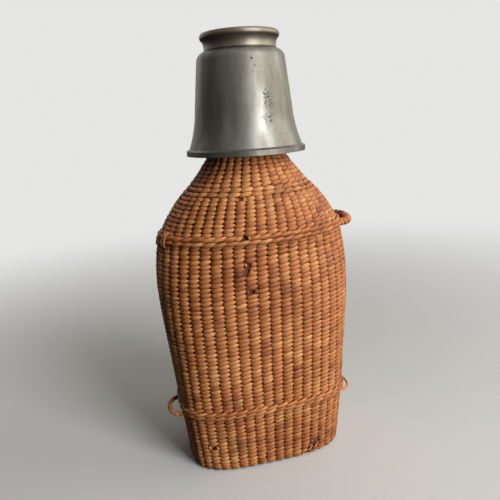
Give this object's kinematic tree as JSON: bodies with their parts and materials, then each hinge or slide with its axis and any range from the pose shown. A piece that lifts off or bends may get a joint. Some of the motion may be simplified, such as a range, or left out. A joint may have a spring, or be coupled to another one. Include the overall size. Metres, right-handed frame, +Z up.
{
  "type": "travel flask",
  "caption": "Flat oval wicker-covered glass flask with waled bands, cane strap loops, a cork, and a pewter drinking cup upside down over the neck.",
  "frame": {"origin": "centre of the resting face under the flask", "axes": "+Z up along the flask, X along the long side of its oval, the pictured flat side faces -Y"},
  "size_m": [0.1223, 0.07, 0.2449],
  "materials": {
    "wicker": "aged varnished willow, satin",
    "cane": "aged split cane, satin",
    "green_glass": "old bottle glass, clear with a green cast",
    "cork": "natural cork, matt",
    "pewter": "dull tarnished pewter, fine scratches and pits"
  },
  "bodies": {
    "flask": {"glass_bottle": "green_glass", "woven_cover": "wicker", "upper_band_top_row": "cane", "upper_band_bottom_row": "cane", "lower_band_top_row": "cane", "lower_band_bottom_row": "cane", "neck_border": "cane", "upper_right_loop": "cane", "lower_right_loop": "cane", "lower_left_loop": "cane", "upper_left_lashing": "cane"},
    "cup": {"cup_bowl": "pewter", "cup_foot": "pewter"},
    "cork": {"cork_stopper": "cork"}
  },
  "joints": [
    {"name": "cup_lift", "type": "slide", "parent": "flask", "child": "cup", "axis": [0, 0, 1], "range_m": [0, 0.06]},
    {"name": "cork_pull", "type": "slide", "parent": "flask", "child": "cork", "axis": [0, 0, 1], "range_m": [0, 0.0125]}
  ]
}
